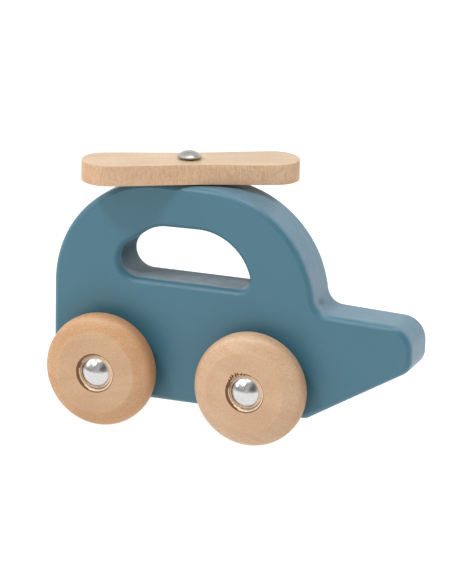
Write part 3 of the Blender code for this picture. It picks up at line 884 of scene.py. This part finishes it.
def make_axle_cap(end, side):
    """One axle cap, its open base towards the wheel."""
    sign = SIDES[side]
    node = f"{end}_{side}_axle_cap"
    low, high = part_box(node)
    base_y = high.y if sign < 0 else low.y
    centre = (low + high) / 2
    profile = cap_profile((high.z - low.z) / 2, AXLE_CAP_RIM, high.y - low.y)
    obj = turned(f"{node}_dome", profile, CAP_SEGMENTS, MATERIALS["chrome_plate"])
    above_base = coordinates(obj.data)[:, 2]
    # painted reflection of the wood on the dome's lower part
    put_attribute(obj.data, "painted_wood_reflection", np.clip((WOOD_REFLECTION_TOP - above_base) / WOOD_REFLECTION_FADE, 0, 1))
    place = Matrix.Translation((centre.x, base_y, centre.z))
    settle(obj, place @ Matrix.Rotation(-sign * math.pi / 2, 4, "X"))
    finish_piece(obj, "chrome_plate", f"{end}_axle_set", node)


def make_rotor_cap():
    """The rotor's cap, which sits on the pin above the blade."""
    low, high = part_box("rotor_cap")
    profile = cap_profile((high.x - low.x) / 2, ROTOR_CAP_RIM, high.z - low.z)
    obj = turned("rotor_cap_dome", profile, CAP_SEGMENTS, MATERIALS["chrome_plate"])
    settle(obj, Matrix.Translation((PIN_X, PIN_Y, low.z)))
    put_attribute(obj.data, "dullness", np.ones(len(obj.data.vertices)))
    finish_piece(obj, "chrome_plate", "body", "rotor_cap")


def make_axles():
    """The two steel rods, with chamfered ends."""
    for end in ENDS:
        node = f"{end}_axle"
        low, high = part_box(node)
        half = (high.y - low.y) / 2
        tip = [(AXLE_RADIUS, half - AXLE_CHAMFER), (AXLE_RADIUS - AXLE_CHAMFER, half), (0, half)]
        profile = [(radius, -height) for radius, height in reversed(tip)] + tip
        obj = turned(f"{node}_rod", profile, ROD_SEGMENTS, MATERIALS["plain_steel"])
        centre = (low + high) / 2
        settle(obj, Matrix.Translation(centre) @ Matrix.Rotation(math.pi / 2, 4, "X"))
        finish_piece(obj, "plain_steel", f"{end}_axle_set", node)


def finish_kept_nodes():
    """Gives steel to the CAD nodes that stay: the washers inside the caps, and the rotor's pin."""
    for name, node in frame["nodes"].items():
        if node.hide_render:
            continue
        node.data.materials.clear()
        node.data.materials.append(MATERIALS["plain_steel"])
        put_attribute(node.data, "rest_at", coordinates(node.data))


# ---------------------------------------------------------------- stage

def make_floor():
    """A plain pale floor: a sheet of acrylic lit from below."""
    bm = bmesh.new()
    bmesh.ops.create_grid(bm, x_segments=1, y_segments=1, size=FLOOR_SIZE)
    s = Shader("pale_floor")
    glow = {"Emission_Color": grey(1.0), "Emission_Strength": FLOOR_GLOW}
    floor = new_piece("floor", bm, s.finish(Base_Color=grey(0.25), Roughness=0.9, **glow))
    floor.location = (0, 0, cad_bounds[0].z)


def make_light(name, direction, distance, width, height, power):
    """A softbox that faces the toy from its direction."""
    light = bpy.data.lights.new(name, "AREA")
    light.shape = "RECTANGLE"
    light.size, light.size_y = width, height
    light.energy = power
    obj = bpy.data.objects.new(name, light)
    away = Vector(direction).normalized()
    obj.location = CENTRE + away * distance
    obj.rotation_mode = "QUATERNION"
    obj.rotation_quaternion = away.to_track_quat("Z", "Y")
    bpy.context.scene.collection.objects.link(obj)


def make_world():
    """The studio: a white backdrop behind the toy, and in front a patchy grey room with one dark side."""
    world = bpy.data.worlds.new("studio")
    bpy.context.scene.world = world
    world.use_nodes = True
    s = Shader(None, world.node_tree, "Background")
    direction = s.add("ShaderNodeTexCoord", output=0)
    x, y, z = (s.add("ShaderNodeSeparateXYZ", output=axis, Vector=direction) for axis in range(3))
    behind = s.ramp(s.math("ADD", y, s.math("MULTIPLY", x, BACKDROP_SLANT)), *BACKDROP_SIDE)
    low = s.ramp(z, *BACKDROP_TOP)
    backdrop = s.math("MULTIPLY", behind, low)
    room = s.ramp(s.noise(s.stretch(direction, ROOM_PATCHES), detail=2), 0.35, 0.65, *ROOM_LEVELS)
    towards = s.add("ShaderNodeVectorMath", output=1, settings={"operation": "DOT_PRODUCT"}, i0=direction,
                    i1=DARK_TOWARDS)
    room = s.math("MULTIPLY", room, s.ramp(towards, *DARK_EDGE, 1.0, DARK_LEVEL))
    level = s.add("ShaderNodeMapRange", Value=backdrop, From_Min=0.0, From_Max=1.0, To_Min=room,
                  To_Max=BACKDROP_LEVEL)
    s.finish(Color=level, Strength=1.0)


def make_camera():
    """A long lens, a little above the toy and towards its tail."""
    sin, cos = math.sin, math.cos
    level = cos(CAMERA_ELEVATION)
    back = Vector((sin(CAMERA_AZIMUTH) * level, -cos(CAMERA_AZIMUTH) * level, sin(CAMERA_ELEVATION)))
    right = Vector((cos(CAMERA_AZIMUTH), sin(CAMERA_AZIMUTH), 0))
    up = back.cross(right)
    rolled_right = right * cos(CAMERA_ROLL) + up * sin(CAMERA_ROLL)
    rolled_up = up * cos(CAMERA_ROLL) - right * sin(CAMERA_ROLL)
    camera = bpy.data.objects.new("camera", bpy.data.cameras.new("camera"))
    camera.data.lens = CAMERA_LENS_MM
    camera.data.clip_start, camera.data.clip_end = CAMERA_CLIP
    turn = Matrix((rolled_right, rolled_up, back)).transposed()
    camera.matrix_world = Matrix.Translation(CAMERA_AIM + back * CAMERA_DISTANCE) @ turn.to_4x4()
    bpy.context.scene.collection.objects.link(camera)
    bpy.context.scene.camera = camera


make_body()
make_wheels()
make_blade()
for end_name in ENDS:
    for side_name in SIDES:
        make_axle_cap(end_name, side_name)
make_rotor_cap()
make_axles()
finish_kept_nodes()
make_floor()
for light_name, light_values in LIGHTS.items():
    make_light(light_name, *light_values)
make_world()
make_camera()
bpy.context.scene.view_settings.view_transform = "Standard"
bpy.context.scene.view_settings.look = "None"

bpy.context.view_layer.update()
